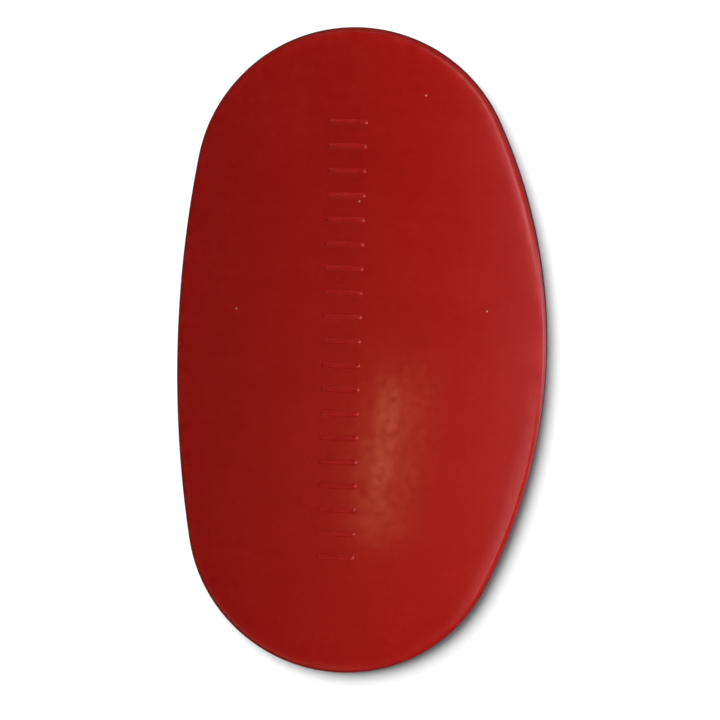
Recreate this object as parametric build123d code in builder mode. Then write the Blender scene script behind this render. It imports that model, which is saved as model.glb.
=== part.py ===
from build123d import *
from math import acos, degrees, sqrt
import os

os.makedirs("parts", exist_ok=True)

# A potter's rubber rib, in millimetres. It lies on its flat back with the working face up,
# its length along Y and its fuller, bellied side towards +X.

# Blank: overall sizes and the radii of the two long sides.
length = 115.0
width = 65.5
thickness = 5.0
flat_side_radius = 200.0
belly_radius = 95.0

# Moulding: the face is slightly domed and round at its rim, the wall leans in towards it to
# leave the mould, and the back edge is bevelled where the mould's seam was trimmed.
crown_height = 0.5
draft_angle = 2.0
rim_radius = 1.2
back_bevel = 0.3

# Grip bars: a row of low half-round bars that runs lengthways, nearer to the flatter side.
bar_length = 6.8
bar_width = 0.95
bar_relief = 0.4
bar_tip_share = 0.6
bar_pitch = 4.3
bar_row_shift = 3.5
bar_row_top_margin = 15.9
bar_row_foot_margin = 20.6

# The outline is four tangent arcs: the two long sides and two equal ends. An end arc touches
# both sides and reaches half the length, which fixes its centre and its radius.
half_length = length / 2
flat_centre_x = flat_side_radius - width / 2
belly_centre_x = width / 2 - belly_radius
flat_reach = half_length - flat_side_radius
belly_reach = half_length - belly_radius
flat_term = flat_centre_x**2 + half_length**2 - flat_side_radius**2
belly_term = belly_centre_x**2 + half_length**2 - belly_radius**2

# End centre x: the root of a quadratic that lies between the two side centres.
square_factor = belly_reach - flat_reach
linear_factor = flat_reach * belly_centre_x - belly_reach * flat_centre_x
constant_factor = belly_reach * flat_term - flat_reach * belly_term
root = sqrt(linear_factor**2 - square_factor * constant_factor)
end_centre_x = (root - linear_factor) / square_factor
end_radius = ((end_centre_x - flat_centre_x) ** 2 + half_length**2 - flat_side_radius**2) / (2 * flat_reach)
end_centre_y = half_length - end_radius

# Half angles of the side arcs, seen from their own centres, and where the end arc starts.
flat_half_angle = degrees(acos((flat_centre_x - end_centre_x) / (flat_side_radius - end_radius)))
belly_half_angle = degrees(acos((end_centre_x - belly_centre_x) / (belly_radius - end_radius)))
end_sweep = 180 - flat_half_angle - belly_half_angle

# The dome is part of a sphere that drops by the crown height over half the length.
crown_radius = (half_length**2 + crown_height**2) / (2 * crown_height)
crown_centre_z = thickness - crown_radius

# A bar's section is a round of its width at the face and of its relief above the face.
bar_radius = (bar_width**2 / 4 + bar_relief**2) / (2 * bar_relief)

# Whole bars that fit between the row's margins, centred there, each one set on the dome.
bar_span = length - bar_row_top_margin - bar_row_foot_margin
bar_count = int(bar_span / bar_pitch) + 1
bar_row_y = (bar_row_foot_margin - bar_row_top_margin) / 2
bar_centres = []
for i in range(bar_count):
    bar_y = bar_row_y + (i - (bar_count - 1) / 2) * bar_pitch
    face_z = crown_centre_z + sqrt(crown_radius**2 - bar_row_shift**2 - bar_y**2)
    bar_centres.append((-bar_row_shift, bar_y, face_z + bar_relief - bar_radius))

print("end radius", round(end_radius, 2), "crown radius", round(crown_radius, 1), "bars", bar_count)

# Grip bar: a rod with tapered ends. What stands out of the face is the bar.
with BuildPart() as grip_bar:
    Cylinder(bar_radius, bar_length, rotation=(0, 90, 0))
    chamfer(edges().filter_by(GeomType.CIRCLE), length=bar_tip_share * bar_radius)

# Rubber rib: the whole tool is one moulding, so its bars are part of the same solid.
with BuildPart() as rubber_rib:
    with BuildSketch():
        with BuildLine():
            CenterArc((flat_centre_x, 0), flat_side_radius, 180 - flat_half_angle, 2 * flat_half_angle)
            CenterArc((belly_centre_x, 0), belly_radius, -belly_half_angle, 2 * belly_half_angle)
            CenterArc((end_centre_x, end_centre_y), end_radius, belly_half_angle, end_sweep)
            CenterArc((end_centre_x, -end_centre_y), end_radius, -belly_half_angle, -end_sweep)
        make_face()
    extrude(amount=thickness, taper=draft_angle)
    with Locations((0, 0, crown_centre_z)):
        Sphere(crown_radius, rotation=(90, 0, 0), mode=Mode.INTERSECT)
    fillet(faces().filter_by(GeomType.SPHERE).edges(), radius=rim_radius)
    chamfer(faces().sort_by(Axis.Z)[0].edges(), length=back_bevel)
    with Locations(*bar_centres):
        add(grip_bar.part)

rubber_rib.part.label = "rubber_rib"
export_step(rubber_rib.part, "parts/rubber_rib.step")
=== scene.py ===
from math import acos, cos, pi, radians, sin, sqrt, tan

import bpy
from mathutils import Matrix, Vector


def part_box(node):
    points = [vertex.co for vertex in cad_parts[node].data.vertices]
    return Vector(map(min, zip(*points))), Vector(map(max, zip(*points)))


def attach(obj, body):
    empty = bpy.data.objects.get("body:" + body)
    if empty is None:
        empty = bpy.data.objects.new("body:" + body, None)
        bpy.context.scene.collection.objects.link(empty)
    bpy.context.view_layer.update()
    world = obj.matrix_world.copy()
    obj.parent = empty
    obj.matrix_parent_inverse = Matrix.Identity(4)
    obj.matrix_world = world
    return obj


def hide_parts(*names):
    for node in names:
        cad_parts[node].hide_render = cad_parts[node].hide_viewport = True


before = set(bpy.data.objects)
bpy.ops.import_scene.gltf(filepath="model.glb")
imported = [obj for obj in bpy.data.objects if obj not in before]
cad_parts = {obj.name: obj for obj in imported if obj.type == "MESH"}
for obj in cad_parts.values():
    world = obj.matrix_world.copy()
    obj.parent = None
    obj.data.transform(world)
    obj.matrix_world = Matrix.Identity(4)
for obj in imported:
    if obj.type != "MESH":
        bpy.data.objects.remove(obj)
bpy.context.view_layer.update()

# Rib slab: the body of a potter's rib, one flat piece of flexible red rubber. It is pressed and
# cured in a shallow mould, which leaves a faintly domed face, a rounded rim, a slightly leaning
# wall and a flat back whose edge was bevelled when the mould's seam was trimmed off.

low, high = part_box("rubber_rib")
length = high.y - low.y
width = high.x - low.x
bar_relief = 0.0004
thickness = high.z - bar_relief
flat_side_radius = 0.2
belly_radius = 0.095
crown_height = 0.0005
rim_radius = 0.0012
draft_angle = radians(2.0)
back_bevel = 0.0003

# The face rolls down over its last few millimetres and is a little wavy, as pressed rubber is.
roll_width = 0.006
roll_drop = 0.0002
roll_power = 4
wave_size = 0.012
wave_height = 0.000006

# Points closer than the seam gap are one point, and a turn past the crease angle is an edge.
seam_gap = 0.000002
crease_angle = radians(32)


class Wire:
    """A node's output. Arithmetic on it adds Math nodes to its tree."""

    def __init__(self, tree, socket):
        self.tree = tree
        self.socket = socket

    def out(self, name):
        """Another output of the same node."""
        return Wire(self.tree, self.socket.node.outputs[name])

    def math(self, operation, *others):
        values = dict(enumerate((self, *others)))
        return self.tree.node("ShaderNodeMath", {"operation": operation}, values)

    def flipped(self, operation, other):
        return self.tree.node("ShaderNodeMath", {"operation": operation}, {0: other, 1: self})

    def __add__(self, other):
        return self.math("ADD", other)

    def __radd__(self, other):
        return self.flipped("ADD", other)

    def __sub__(self, other):
        return self.math("SUBTRACT", other)

    def __rsub__(self, other):
        return self.flipped("SUBTRACT", other)

    def __mul__(self, other):
        return self.math("MULTIPLY", other)

    def __rmul__(self, other):
        return self.flipped("MULTIPLY", other)

    def __truediv__(self, other):
        return self.math("DIVIDE", other)

    def __rtruediv__(self, other):
        return self.flipped("DIVIDE", other)

    def __pow__(self, other):
        return self.math("POWER", other)

    def __rpow__(self, other):
        return self.flipped("POWER", other)

    def __neg__(self):
        return self.math("MULTIPLY", -1.0)

    def clamped(self):
        """This value, kept between 0 and 1."""
        return self.tree.node("ShaderNodeClamp", {}, {"Value": self})

    def eased(self, start, end):
        """0 before start and 1 past end, with a smooth step between them."""
        values = {"Value": self, "From Min": start, "From Max": end}
        return self.tree.node("ShaderNodeMapRange", {"interpolation_type": "SMOOTHSTEP"}, values)

    def toward(self, other, share):
        """This value, moved by a share of the way to another one."""
        return self + (other - self) * share


class Tree:
    """A node tree, filled one node at a time."""

    def __init__(self, tree):
        self.tree = tree

    def node(self, kind, settings, values):
        """Adds a node, with its settings first and then the values or links of its sockets."""
        made = self.tree.nodes.new(kind)
        for name, setting in settings.items():
            setattr(made, name, setting)
        for key, value in values.items():
            if isinstance(key, str):
                socket = next(s for s in made.inputs if s.name == key and s.enabled)
            else:
                socket = made.inputs[key]
            if isinstance(value, Wire):
                self.tree.links.new(value.socket, socket)
            else:
                socket.default_value = value
        outputs = [s for s in made.outputs if s.enabled]
        return Wire(self, outputs[0]) if outputs else made


class Growth(Tree):
    """A geometry tree with named inputs, which makes one piece of the object."""

    def __init__(self, name, inputs):
        super().__init__(bpy.data.node_groups.new(name, "GeometryNodeTree"))
        self.sockets = {}
        self.values = {}
        for label, (kind, value) in inputs.items():
            socket = self.tree.interface.new_socket(label, in_out="INPUT", socket_type=kind)
            self.sockets[label] = socket.identifier
            self.values[label] = value
        self.tree.interface.new_socket("Geometry", in_out="OUTPUT", socket_type="NodeSocketGeometry")
        self.entry = self.tree.nodes.new("NodeGroupInput")

    def __getitem__(self, label):
        return Wire(self, self.entry.outputs[label])

    def store(self, geometry, name, value):
        """Keeps a value at each point, for the material to read."""
        settings = {"data_type": "FLOAT", "domain": "POINT"}
        values = {"Geometry": geometry, "Name": name, "Value": value}
        return self.node("GeometryNodeStoreNamedAttribute", settings, values)

    def grow(self, name, geometry):
        """Ends the tree and returns its result as an object with a plain mesh."""
        whole = self.node("GeometryNodeRealizeInstances", {}, {"Geometry": geometry})
        values = {"Geometry": whole, "Material": self["Material"]}
        painted = self.node("GeometryNodeSetMaterial", {}, values)
        end = self.tree.nodes.new("NodeGroupOutput")
        self.tree.links.new(painted.socket, end.inputs["Geometry"])
        carrier = bpy.data.objects.new(name + "_carrier", bpy.data.meshes.new(name + "_start"))
        bpy.context.scene.collection.objects.link(carrier)
        modifier = carrier.modifiers.new("growth", "NODES")
        modifier.node_group = self.tree
        for label, identifier in self.sockets.items():
            modifier[identifier] = self.values[label]
        bpy.context.view_layer.update()
        evaluated = carrier.evaluated_get(bpy.context.evaluated_depsgraph_get())
        mesh = bpy.data.meshes.new_from_object(evaluated)
        carrier.modifiers.remove(modifier)
        bpy.data.objects.remove(carrier)
        mesh.name = name
        piece = bpy.data.objects.new(name, mesh)
        bpy.context.scene.collection.objects.link(piece)
        return piece


def rib_outline(length, width, flat_radius, belly_radius):
    """The closed outline of four tangent arcs, as a Bezier curve through their meeting points."""
    half = length / 2
    flat_x = flat_radius - width / 2
    belly_x = width / 2 - belly_radius
    flat_reach = half - flat_radius
    belly_reach = half - belly_radius
    flat_term = flat_x**2 + half**2 - flat_radius**2
    belly_term = belly_x**2 + half**2 - belly_radius**2
    square = belly_reach - flat_reach
    linear = flat_reach * belly_x - belly_reach * flat_x
    constant = belly_reach * flat_term - flat_reach * belly_term
    end_x = (sqrt(linear**2 - square * constant) - linear) / square
    end_radius = ((end_x - flat_x) ** 2 + half**2 - flat_radius**2) / (2 * flat_reach)
    end_y = half - end_radius
    belly_angle = acos((end_x - belly_x) / (belly_radius - end_radius))
    flat_angle = pi - acos((flat_x - end_x) / (flat_radius - end_radius))
    crest_angle = (belly_angle + flat_angle) / 2
    arcs = [
        ((belly_x, 0), belly_radius, -belly_angle, belly_angle),
        ((end_x, end_y), end_radius, belly_angle, crest_angle),
        ((end_x, end_y), end_radius, crest_angle, flat_angle),
        ((flat_x, 0), flat_radius, flat_angle, 2 * pi - flat_angle),
        ((end_x, -end_y), end_radius, -flat_angle, -crest_angle),
        ((end_x, -end_y), end_radius, -crest_angle, -belly_angle),
    ]
    curve = bpy.data.curves.new("rib_outline", "CURVE")
    curve.dimensions = "3D"
    spline = curve.splines.new("BEZIER")
    spline.bezier_points.add(len(arcs) - 1)
    spline.use_cyclic_u = True
    spline.resolution_u = 96
    for i, (centre, radius, start, end) in enumerate(arcs):
        handle = radius * 4 / 3 * tan((end - start) / 4)
        here = spline.bezier_points[i]
        there = spline.bezier_points[(i + 1) % len(arcs)]
        here.handle_right_type = there.handle_left_type = "FREE"
        first = Vector((centre[0] + radius * cos(start), centre[1] + radius * sin(start), 0))
        last = Vector((centre[0] + radius * cos(end), centre[1] + radius * sin(end), 0))
        here.co = first
        here.handle_right = first + handle * Vector((-sin(start), cos(start), 0))
        there.handle_left = last - handle * Vector((-sin(end), cos(end), 0))
    outline = bpy.data.objects.new("rib_outline", curve)
    bpy.context.scene.collection.objects.link(outline)
    return outline


# Red rubber: a satin to glossy cured rubber, deep red all through. The pigment clouds a little,
# the gloss is patchy and worn dull at the rim, and a few pale specks lie on the face. The outer rim
# and wall are darkened with painted shade, and a pale painted sheen lies towards the belly edge.

deep_red = (0.242, 0.0048, 0.0031, 1)
body_red = (0.265, 0.0056, 0.0035, 1)
bright_red = (0.285, 0.0072, 0.0042, 1)
worn_red = (0.36, 0.018, 0.016, 1)
# Painted shade: a darker red laid on the outer rim and the wall.
painted_shade_red = (0.10, 0.0030, 0.0025, 1)
# Painted sheen: a pale pink laid towards the belly edge.
painted_sheen_pink = (0.46, 0.33, 0.33, 1)
dust_grey = (0.55, 0.30, 0.24, 1)
worn_share = 0.22
painted_shade_share = 0.45
painted_sheen_share = 0.035
dust_share = 0.6

cloud_size = 0.016
fleck_size = 0.0022
streak_size = 0.004
streak_squeeze = 0.12
streak_angle = radians(28)
pore_size = 0.0016
peel_size = 0.0007
peel_depth = 0.00003

# The painted sheen grows between two places across the rib, and from the foot of the rib to its head.
sheen_inner_x = 0.006
sheen_outer_x = 0.036
sheen_foot_y = -0.045
sheen_head_y = 0.035
sheen_foot_share = 0.25

# One cell in eight or so has a speck. Specks fade out on the rim, so that none runs down the wall.
speck_cell = 0.011
speck_radius = 0.00019
speck_low_z = 0.0040
speck_high_z = 0.0044

satin_roughness = 0.20
coat_roughness = 0.07

rubber = bpy.data.materials.new("red_rubber")
rubber.use_nodes = True
rubber.node_tree.nodes.clear()
paint = Tree(rubber.node_tree)
place = paint.node("ShaderNodeTexCoord", {}, {}).out("Object")
place_parts = paint.node("ShaderNodeSeparateXYZ", {}, {0: place})
rim_wear = paint.node("ShaderNodeAttribute", {"attribute_name": "rim_wear"}, {}).out("Fac")
# How much painted shade a point takes, from the middle of the rim outwards.
wall_skin = paint.node("ShaderNodeAttribute", {"attribute_name": "wall_skin"}, {}).out("Fac")


def noise(tree, vector, size, detail, roughness, distortion=0.0):
    """Noise between 0 and 1 whose blotches are about one size across."""
    values = {"Vector": vector, "Scale": 1 / size, "Detail": detail, "Roughness": roughness}
    return tree.node("ShaderNodeTexNoise", {}, {**values, "Distortion": distortion})


def blend(tree, first, second, share):
    """Two colours mixed by a share of the second."""
    values = {"Factor": share, "A": first, "B": second}
    return tree.node("ShaderNodeMix", {"data_type": "RGBA"}, values)


clouds = noise(paint, place, cloud_size, 4.0, 0.55, 0.4)
flecks = noise(paint, place, fleck_size, 3.0, 0.6)
streak_place = paint.node(
    "ShaderNodeMapping",
    {},
    {"Vector": place, "Rotation": (0, 0, -streak_angle), "Scale": (streak_squeeze, 1.0, 1.0)},
)
streaks = noise(paint, streak_place, streak_size, 3.0, 0.6)
peel = noise(paint, place, peel_size, 2.0, 0.5)
pores = noise(paint, place, pore_size, 2.0, 0.6)

tone = clouds * 0.25 + flecks * 0.2 + streaks * 0.15 + pores * 0.2 + peel * 0.2
color = blend(paint, deep_red, body_red, tone.eased(0.38, 0.5))
color = blend(paint, color, bright_red, tone.eased(0.5, 0.62))
worn = rim_wear * flecks.eased(0.35, 0.65)
color = blend(paint, color, worn_red, worn * worn_share)
# Painted shade: the outer rim and the wall are darkened in colour, not by the lights.
color = blend(paint, color, painted_shade_red, wall_skin * painted_shade_share)

# Painted sheen: a pale pink blended in towards the belly edge and the head, standing in for gloss.
headward = place_parts.out("Y").eased(sheen_foot_y, sheen_head_y)
headward = sheen_foot_share + headward * (1 - sheen_foot_share)
belly_sheen = place_parts.out("X").eased(sheen_inner_x, sheen_outer_x) ** 1.5
belly_sheen = belly_sheen * (0.6 + clouds * 0.8) * headward
color = blend(paint, color, painted_sheen_pink, belly_sheen * painted_sheen_share)

cells = paint.node(
    "ShaderNodeTexVoronoi",
    {"voronoi_dimensions": "2D"},
    {"Vector": place, "Scale": 1 / speck_cell},
)
near = 1 - (cells.out("Distance") * speck_cell).eased(speck_radius * 0.6, speck_radius)
chosen = paint.node("ShaderNodeSeparateColor", {}, {"Color": cells.out("Color")}).eased(0.86, 0.88)
speck = near * chosen * place_parts.out("Z").eased(speck_low_z, speck_high_z)
color = blend(paint, color, dust_grey, speck * dust_share)

# The rubber's skin is a thin glossy coat that comes and goes in patches over its satin body.
patches = (clouds * 0.4 + flecks * 0.3 + streaks * 0.3).eased(0.38, 0.62)
fine_patches = pores.eased(0.35, 0.65) * 0.3 + peel.eased(0.35, 0.65) * 0.15
roughness = satin_roughness + patches * 0.05 + rim_wear * 0.02 + speck * 0.2
coat = (0.12 + patches * 0.32 + fine_patches) * (1 - rim_wear)
bump = paint.node("ShaderNodeBump", {}, {"Strength": 0.15, "Distance": peel_depth, "Height": peel})
skin = paint.node(
    "ShaderNodeBsdfPrincipled",
    {},
    {
        "Base Color": color,
        "Roughness": roughness,
        "Normal": bump,
        "IOR": 1.5,
        "Specular IOR Level": 0.5,
        "Coat Weight": coat,
        "Coat Roughness": coat_roughness,
    },
)
paint.node("ShaderNodeOutputMaterial", {}, {"Surface": skin})

# The row of grip bars, where the face keeps its even dome for them to stand on. It runs from one
# margin to the other, and the waves fade in outside it.
grip_row_x = -0.0035
grip_row_top_margin = 0.0159
grip_row_foot_margin = 0.0206
bar_length = 0.0068
bar_width = 0.00095
bar_pitch = 0.0043
grip_row_span = length - grip_row_top_margin - grip_row_foot_margin
bar_count = int(grip_row_span / bar_pitch) + 1
grip_row_y = (grip_row_foot_margin - grip_row_top_margin) / 2
even_beside = 0.0004
wavy_beside = 0.003
even_beyond = 0.0006
wavy_beyond = 0.004

crown_radius = (length**2 / 4 + crown_height**2) / (2 * crown_height)
wall_top = thickness - crown_height - roll_drop - rim_radius
rim_inset = (wall_top - back_bevel) * tan(draft_angle) + rim_radius * cos(draft_angle)

# The face's rings crowd towards the rim, where the face bends most.
ring_crowding = 1.5

guide = rib_outline(length, width, flat_side_radius, belly_radius)
slab = Growth(
    "rib_slab",
    {
        "Outline": ("NodeSocketObject", guide),
        "Steps round": ("NodeSocketInt", 400),
        "Face rings": ("NodeSocketInt", 60),
        "Rim rings": ("NodeSocketInt", 12),
        "Wall rings": ("NodeSocketInt", 6),
        "Back rings": ("NodeSocketInt", 16),
        "Thickness": ("NodeSocketFloat", thickness),
        "Crown radius": ("NodeSocketFloat", crown_radius),
        "Rim radius": ("NodeSocketFloat", rim_radius),
        "Rim inset": ("NodeSocketFloat", rim_inset),
        "Roll width": ("NodeSocketFloat", roll_width),
        "Roll drop": ("NodeSocketFloat", roll_drop),
        "Wall angle": ("NodeSocketFloat", pi / 2 - draft_angle),
        "Back bevel": ("NodeSocketFloat", back_bevel),
        "Wave size": ("NodeSocketFloat", wave_size),
        "Wave height": ("NodeSocketFloat", wave_height),
        "Material": ("NodeSocketMaterial", rubber),
    },
)


def dome(tree, x, y):
    """How high the domed face stands over a place."""
    radius = tree["Crown radius"]
    return (radius * radius - x * x - y * y).math("SQRT") - radius + tree["Thickness"]


def zone(value, before, count):
    """The share of one zone of rings that a ring has passed."""
    return ((value - before) / count).clamped()


# The slab starts as a flat sheet of one unit. Its X runs round the outline, and its Y runs in
# rings from the middle of the face over the rim, wall and bevel to the middle of the back.
rim_start = slab["Face rings"]
rim_end = rim_start + slab["Rim rings"]
wall_end = rim_end + slab["Wall rings"]
bevel_end = wall_end + 1.0
ring_count = bevel_end + slab["Back rings"]
sheet = slab.node(
    "GeometryNodeMeshGrid",
    {},
    {
        "Size X": 1.0,
        "Size Y": 1.0,
        "Vertices X": slab["Steps round"] + 1.0,
        "Vertices Y": ring_count + 1.0,
    },
)
spot = slab.node("ShaderNodeSeparateXYZ", {}, {0: slab.node("GeometryNodeInputPosition", {}, {})})
ring = (spot.out("Y") + 0.5) * ring_count
on_face = zone(ring, 0.0, slab["Face rings"])
on_rim = zone(ring, rim_start, slab["Rim rings"])
on_wall = zone(ring, rim_end, slab["Wall rings"])
on_bevel = zone(ring, wall_end, 1.0)
on_back = zone(ring, bevel_end, slab["Back rings"])

# A point's place comes from the outline, drawn in by the inset of its ring. The rings of the face
# and of the back shrink towards the middle as well.
guide_curve = slab.node("GeometryNodeObjectInfo", {}, {"Object": slab["Outline"]}).out("Geometry")
edge = slab.node(
    "GeometryNodeSampleCurve",
    {"mode": "FACTOR", "use_all_curves": True},
    {"Curves": guide_curve, "Factor": 0.5 - spot.out("X")},
)
edge_at = slab.node("ShaderNodeSeparateXYZ", {}, {0: edge.out("Position")})
edge_run = slab.node("ShaderNodeSeparateXYZ", {}, {0: edge.out("Tangent")})
out_x = edge_run.out("Y")
out_y = -edge_run.out("X")

# The rim turns from the slope of the face's rolled edge to the slope of the wall.
turn = slab["Roll drop"] * roll_power / slab["Roll width"]
angle = turn.toward(slab["Wall angle"], on_rim)
round_inset = slab["Rim inset"] - slab["Rim radius"] * angle.math("SINE")
inset = (round_inset * (1 - on_wall)).toward(slab["Back bevel"], on_bevel)
spread_face = 1 - (1 - on_face) ** ring_crowding
scale = spread_face * (1 - on_back)
x = (edge_at.out("X") - out_x * inset) * scale
y = (edge_at.out("Y") - out_y * inset) * scale

# Noise seldom leaves its middle half, so four times its swing fills the wave height.
reach = edge_at.out("X") * out_x + edge_at.out("Y") * out_y
rolled = (1 - (1 - spread_face) * reach / slab["Roll width"]).clamped()
flat_place = slab.node("ShaderNodeCombineXYZ", {}, {"X": x, "Y": y})
wave = (noise(slab, flat_place, slab["Wave size"], 2.0, 0.5) - 0.5) * 4.0
beside_row = (x - grip_row_x).math("ABSOLUTE")
beyond_row = (y - grip_row_y).math("ABSOLUTE")
beside_row = beside_row.eased(bar_length / 2 + even_beside, bar_length / 2 + wavy_beside)
beyond_row = beyond_row.eased(grip_row_span / 2 + even_beyond, grip_row_span / 2 + wavy_beyond)
waved = wave * beside_row.math("MAXIMUM", beyond_row) * slab["Wave height"]
face_z = dome(slab, x, y) - slab["Roll drop"] * rolled ** roll_power + waved
round_z = face_z - slab["Rim radius"] * (turn.math("COSINE") - angle.math("COSINE"))
z = round_z.toward(slab["Back bevel"], on_wall) * (1 - on_bevel)
skin_place = slab.node("ShaderNodeCombineXYZ", {}, {"X": x, "Y": y, "Z": z})

# The values for the material are stored while the sheet is still flat, because they are worked
# out from each point's place on the sheet.
wear = (rolled ** 8 * 0.9 + on_rim * 4.0).clamped() * (1 - on_wall)
sheet = slab.store(sheet, "rim_wear", wear)
# Painted shade mask: none on the face, full from the middle of the rim over the wall and the back.
sheet = slab.store(sheet, "wall_skin", (on_rim * 2.5 - 0.25).clamped())
shaped = slab.node("GeometryNodeSetPosition", {}, {"Geometry": sheet, "Position": skin_place})
closed = slab.node("GeometryNodeMergeByDistance", {}, {"Geometry": shaped, "Distance": seam_gap})
rib_slab = slab.grow("rib_slab", closed)
bpy.data.objects.remove(guide)
rib_slab.data.shade_smooth()
rib_slab.data.set_sharp_from_angle(angle=crease_angle)
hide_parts("rubber_rib")
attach(rib_slab, "root")


# Grip bars: a row of low rounded bars on the face, moulded in one with the slab from the same red
# rubber. Each one fills a pocket in the mould, so it has soft ends and runs out into the face
# without a crease.

bar_foot = 0.0006
bar_sink = 0.00001
crest_fullness = 1.25
skirt_rings = 1.0
under_rings = 1.0

bars = Growth(
    "grip_bars",
    {
        "Bar count": ("NodeSocketInt", bar_count),
        "Bar pitch": ("NodeSocketFloat", bar_pitch),
        "Row X": ("NodeSocketFloat", grip_row_x),
        "Row Y": ("NodeSocketFloat", grip_row_y),
        "Bar length": ("NodeSocketFloat", bar_length),
        "Bar width": ("NodeSocketFloat", bar_width),
        "Bar foot": ("NodeSocketFloat", bar_foot),
        "Bar relief": ("NodeSocketFloat", bar_relief),
        "Bar sink": ("NodeSocketFloat", bar_sink),
        "Steps round": ("NodeSocketInt", 36),
        "Slope rings": ("NodeSocketInt", 10),
        "Thickness": ("NodeSocketFloat", thickness),
        "Crown radius": ("NodeSocketFloat", crown_radius),
        "Material": ("NodeSocketMaterial", rubber),
    },
)

# A bar starts as a sheet too: rings from its crest down the slope to its foot, then one ring down
# into the slab, and one that closes it underneath.
hidden_rings = skirt_rings + under_rings
bar_sheet = bars.node(
    "GeometryNodeMeshGrid",
    {},
    {
        "Size X": 1.0,
        "Size Y": 1.0,
        "Vertices X": bars["Steps round"] + 1.0,
        "Vertices Y": bars["Slope rings"] + 1.0 + hidden_rings,
    },
)
bar_spot = bars.node("ShaderNodeSeparateXYZ", {}, {0: bars.node("GeometryNodeInputPosition", {}, {})})
bar_ring = (bar_spot.out("Y") + 0.5) * (bars["Slope rings"] + hidden_rings)
around = (0.5 - bar_spot.out("X") + 0.5 / bars["Steps round"]) * (2 * pi)
on_slope = zone(bar_ring, 0.0, bars["Slope rings"])
on_skirt = zone(bar_ring, bars["Slope rings"], skirt_rings)
on_under = zone(bar_ring, bars["Slope rings"] + skirt_rings, under_rings)
away = bars["Bar foot"] * on_slope * (1 - on_under)
spine = (bars["Bar length"] - bars["Bar width"]) / 2.0
bar_x = around.math("COSINE").math("SIGN") * spine + around.math("COSINE") * away
bar_y = around.math("SINE") * away
swell = ((on_slope ** crest_fullness * pi).math("COSINE") + 1.0) / 2.0
bar_z = swell * (bars["Bar relief"] + bars["Bar sink"]) - bars["Bar sink"]
bar_z = bar_z - on_skirt * bars["Bar foot"]
bar_place = bars.node("ShaderNodeCombineXYZ", {}, {"X": bar_x, "Y": bar_y, "Z": bar_z})
bar_sheet = bars.store(bar_sheet, "rim_wear", swell * swell * (1 - on_skirt))
bar = bars.node("GeometryNodeSetPosition", {}, {"Geometry": bar_sheet, "Position": bar_place})
bar = bars.node("GeometryNodeMergeByDistance", {}, {"Geometry": bar, "Distance": seam_gap})

# The bars stand in their row first, and are then lifted onto the dome.
row_start = bars["Row Y"] - (bars["Bar count"] - 1.0) * bars["Bar pitch"] / 2.0
first_place = bars.node("ShaderNodeCombineXYZ", {}, {"X": bars["Row X"], "Y": row_start})
bar_step = bars.node("ShaderNodeCombineXYZ", {}, {"Y": bars["Bar pitch"]})
row = bars.node(
    "GeometryNodeMeshLine",
    {},
    {"Count": bars["Bar count"], "Start Location": first_place, "Offset": bar_step},
)
placed = bars.node("GeometryNodeInstanceOnPoints", {}, {"Points": row, "Instance": bar})
loose = bars.node("GeometryNodeRealizeInstances", {}, {"Geometry": placed})
over = bars.node("ShaderNodeSeparateXYZ", {}, {0: bars.node("GeometryNodeInputPosition", {}, {})})
lift = bars.node("ShaderNodeCombineXYZ", {}, {"Z": dome(bars, over.out("X"), over.out("Y"))})
seated = bars.node("GeometryNodeSetPosition", {}, {"Geometry": loose, "Offset": lift})
grip_bars = bars.grow("grip_bars", seated)
grip_bars.data.shade_smooth()
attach(grip_bars, "root")


# Floor: a plain white table that the rib lies on, wide enough to fill a low view. Its white is
# uneven by a hair, as a painted board's is.

floor_half = 4.0
floor_white = (0.93, 0.93, 0.93, 1)
floor_shade = (0.90, 0.90, 0.905, 1)
floor_cloud_size = 0.35

floor_paint = bpy.data.materials.new("white_floor")
floor_paint.use_nodes = True
floor_paint.node_tree.nodes.clear()
ground = Tree(floor_paint.node_tree)
floor_place = ground.node("ShaderNodeTexCoord", {}, {}).out("Object")
floor_clouds = noise(ground, floor_place, floor_cloud_size, 2.0, 0.5)
floor_color = blend(ground, floor_white, floor_shade, floor_clouds.eased(0.3, 0.7))
matt = ground.node("ShaderNodeBsdfDiffuse", {}, {"Color": floor_color})
ground.node("ShaderNodeOutputMaterial", {}, {"Surface": matt})

corners = [(side * floor_half, end * floor_half, 0) for side, end in ((-1, -1), (1, -1), (1, 1), (-1, 1))]
floor_mesh = bpy.data.meshes.new("floor")
floor_mesh.from_pydata(corners, [], [(0, 1, 2, 3)])
floor_mesh.materials.append(floor_paint)
floor = bpy.data.objects.new("floor", floor_mesh)
bpy.context.scene.collection.objects.link(floor)
floor.visible_glossy = False


# Lights: soft boxes for the rib alone, and two broad suns for the floor alone. The boxes that give
# plain light set the tones of the face, and those that show only in the gloss draw the bands at
# the rim. The rib doesn't colour the floor.

rib_group = bpy.data.collections.new("lit_rib")
rib_group.objects.link(rib_slab)
rib_group.objects.link(grip_bars)
floor_group = bpy.data.collections.new("lit_floor")
floor_group.objects.link(floor)
rib_slab.visible_diffuse = False
grip_bars.visible_diffuse = False


def aim(light, place, target):
    """Puts a light at a place and turns it towards a target."""
    outward = (Vector(place) - Vector(target)).normalized()
    lengthways = Vector((0, 1, 0))
    lengthways = (lengthways - lengthways.dot(outward) * outward).normalized()
    facing = Matrix((lengthways.cross(outward), lengthways, outward)).transposed().to_4x4()
    light.matrix_world = Matrix.Translation(place) @ facing


def soft_box(name, place, target, size, power, color, glossy, diffuse, twist=0.0):
    """A soft box that lights the rib alone, as a mirrored shape, as plain light, or as both."""
    data = bpy.data.lights.new(name, "AREA")
    data.shape = "RECTANGLE"
    data.size, data.size_y = size
    data.energy = power
    data.color = color
    light = bpy.data.objects.new(name, data)
    bpy.context.scene.collection.objects.link(light)
    aim(light, place, target)
    if twist:
        light.rotation_euler.rotate_axis("Z", twist)
    light.light_linking.receiver_collection = rib_group
    light.visible_camera = False
    light.visible_glossy = glossy
    light.visible_diffuse = diffuse


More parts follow.
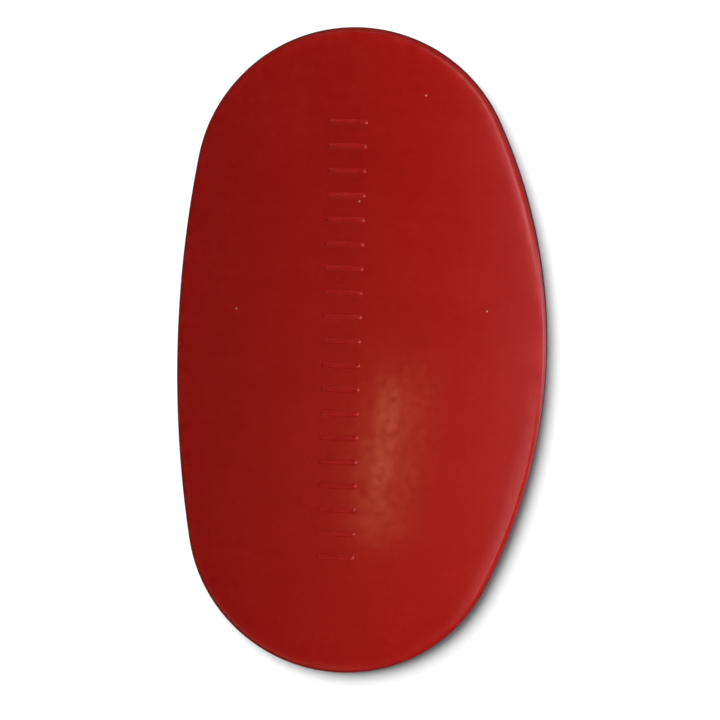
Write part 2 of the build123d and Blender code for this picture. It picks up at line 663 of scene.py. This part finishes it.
def floor_sun(name, place, strength, spread):
    """A broad sun that lights the floor alone, so that the rib's shadow on it is soft."""
    data = bpy.data.lights.new(name, "SUN")
    data.energy = strength
    data.angle = spread
    light = bpy.data.objects.new(name, data)
    bpy.context.scene.collection.objects.link(light)
    aim(light, place, (0, 0, 0))
    light.light_linking.receiver_collection = floor_group


daylight = (0.98, 0.98, 1.0)
warm_white = (1.0, 0.97, 0.92)

# Two windows over the belly side light the face, brighter towards the belly edge.
soft_box(
    "window_high",
    place=(0.08, 0.07, 0.115),
    target=(0.08, 0.07, 0),
    size=(0.05, 0.08),
    power=0.183,
    color=daylight,
    glossy=False,
    diffuse=True,
)
soft_box(
    "window_low",
    place=(0.07, -0.07, 0.125),
    target=(0.07, -0.07, 0),
    size=(0.05, 0.08),
    power=0.205,
    color=daylight,
    glossy=False,
    diffuse=True,
)

# Low fills keep the wall and rim from going black on each side.
soft_box(
    "head_fill",
    place=(0, 0.17, 0.03),
    target=(0, 0.03, 0),
    size=(0.12, 0.03),
    power=0.105,
    color=warm_white,
    glossy=False,
    diffuse=True,
)
soft_box(
    "left_fill",
    place=(-0.22, 0.05, 0.015),
    target=(0, 0, 0),
    size=(0.02, 0.30),
    power=0.25,
    color=warm_white,
    glossy=False,
    diffuse=True,
)
soft_box(
    "foot_fill",
    place=(-0.16, -0.18, 0.04),
    target=(0, -0.04, 0),
    size=(0.25, 0.05),
    power=0.22,
    color=(1.0, 0.92, 0.82),
    glossy=False,
    diffuse=True,
)
soft_box(
    "right_fill",
    place=(0.18, -0.12, 0.015),
    target=(0, 0, 0),
    size=(0.02, 0.20),
    power=0.14,
    color=(1.0, 0.97, 0.97),
    glossy=False,
    diffuse=True,
)

# A window beyond the upper right corner gives plain light and gloss. The sheens and cards give
# gloss alone: at the rim on the upper right, right and foot, on the belly's wall and on the bars.
soft_box(
    "corner_window",
    place=(0.20, 0.20, 0.20),
    target=(0.02, 0.04, 0),
    size=(0.20, 0.20),
    power=0.14,
    color=(1.0, 1.0, 1.0),
    glossy=True,
    diffuse=True,
)
soft_box(
    "high_sheen",
    place=(0.157, 0.035, 0.25),
    target=(0.029, 0.03, 0.004),
    size=(0.145, 0.05),
    power=0.118,
    color=(1.0, 0.54, 0.56),
    glossy=True,
    diffuse=False,
)
soft_box(
    "low_sheen",
    place=(0.223, -0.004, 0.06),
    target=(0.033, 0, 0.004),
    size=(0.12, 0.09),
    power=0.135,
    color=(1.0, 0.62, 0.70),
    glossy=True,
    diffuse=False,
)
soft_box(
    "side_card",
    place=(0.060, -0.012, 0.0004),
    target=(0.060, -0.012, 1.0),
    size=(0.050, 0.065),
    power=0.008,
    color=(1.0, 0.9, 1.0),
    glossy=True,
    diffuse=False,
)
soft_box(
    "foot_card",
    place=(-0.082, -0.239, 0.158),
    target=(-0.012, -0.055, 0.004),
    size=(0.22, 0.18),
    power=0.055,
    color=(1.0, 0.55, 0.40),
    glossy=True,
    diffuse=False,
)

# A narrow warm lamp far overhead, with a wider glow round it, is mirrored beside the bars.
lamp_target = (0.005, -0.0155, 0.005)
soft_box(
    "lamp",
    place=(-0.0305, -0.1385, 0.745),
    target=lamp_target,
    size=(0.007, 0.060),
    power=0.0059,
    color=(1.0, 0.52, 0.24),
    glossy=True,
    diffuse=True,
    twist=radians(-5),
)
soft_box(
    "glow",
    place=(-0.0275, -0.1365, 0.745),
    target=lamp_target,
    size=(0.028, 0.085),
    power=0.010,
    color=(1.0, 0.45, 0.20),
    glossy=True,
    diffuse=True,
    twist=radians(-7),
)

# The key comes from the upper left and draws the shadow, which the sky softens all round.
floor_sun("key", place=(-0.36, 0.50, 1.0), strength=3.95, spread=radians(40))
floor_sun("sky", place=(0, 0, 1.0), strength=0.3, spread=radians(150))

# The room adds a trace of cool light from all sides.
room_color = (0.9, 0.95, 1.0, 1)
room_strength = 0.03
studio = bpy.data.worlds.new("studio")
studio.use_nodes = True
bpy.context.scene.world = studio
room = studio.node_tree.nodes["Background"]
room.inputs["Color"].default_value = room_color
room.inputs["Strength"].default_value = room_strength


# Camera: at the photograph's angle, 0.7 m away, nearly overhead and turned so that the rib's
# length runs up the picture. The rib's middle is a little off the picture's.

camera_distance = 0.7
azimuth = radians(156.0)
elevation = radians(82.0)
roll = radians(1.74)
sensor_width_mm = 36
lens_mm = 197.9
nearest_view = 0.01
off_centre_up = 0.00110
off_centre_right = 0.00028

back = Vector((sin(azimuth) * cos(elevation), -cos(azimuth) * cos(elevation), sin(elevation)))
along = Vector((0, 1, 0))
upright = (along - along.dot(back) * back).normalized()
across = upright.cross(back)
right = across * cos(roll) + upright * sin(roll)
up = upright * cos(roll) - across * sin(roll)
camera_data = bpy.data.cameras.new("camera")
camera_data.sensor_width = sensor_width_mm
camera_data.lens = lens_mm
camera_data.clip_start = nearest_view
camera = bpy.data.objects.new("camera", camera_data)
bpy.context.scene.collection.objects.link(camera)
turn_to_view = Matrix((right, up, back)).transposed().to_4x4()
centre = Vector((0, 0, thickness / 2)) - up * off_centre_up - right * off_centre_right
camera.matrix_world = Matrix.Translation(centre + back * camera_distance) @ turn_to_view
bpy.context.scene.camera = camera
bpy.context.scene.view_settings.view_transform = "Standard"
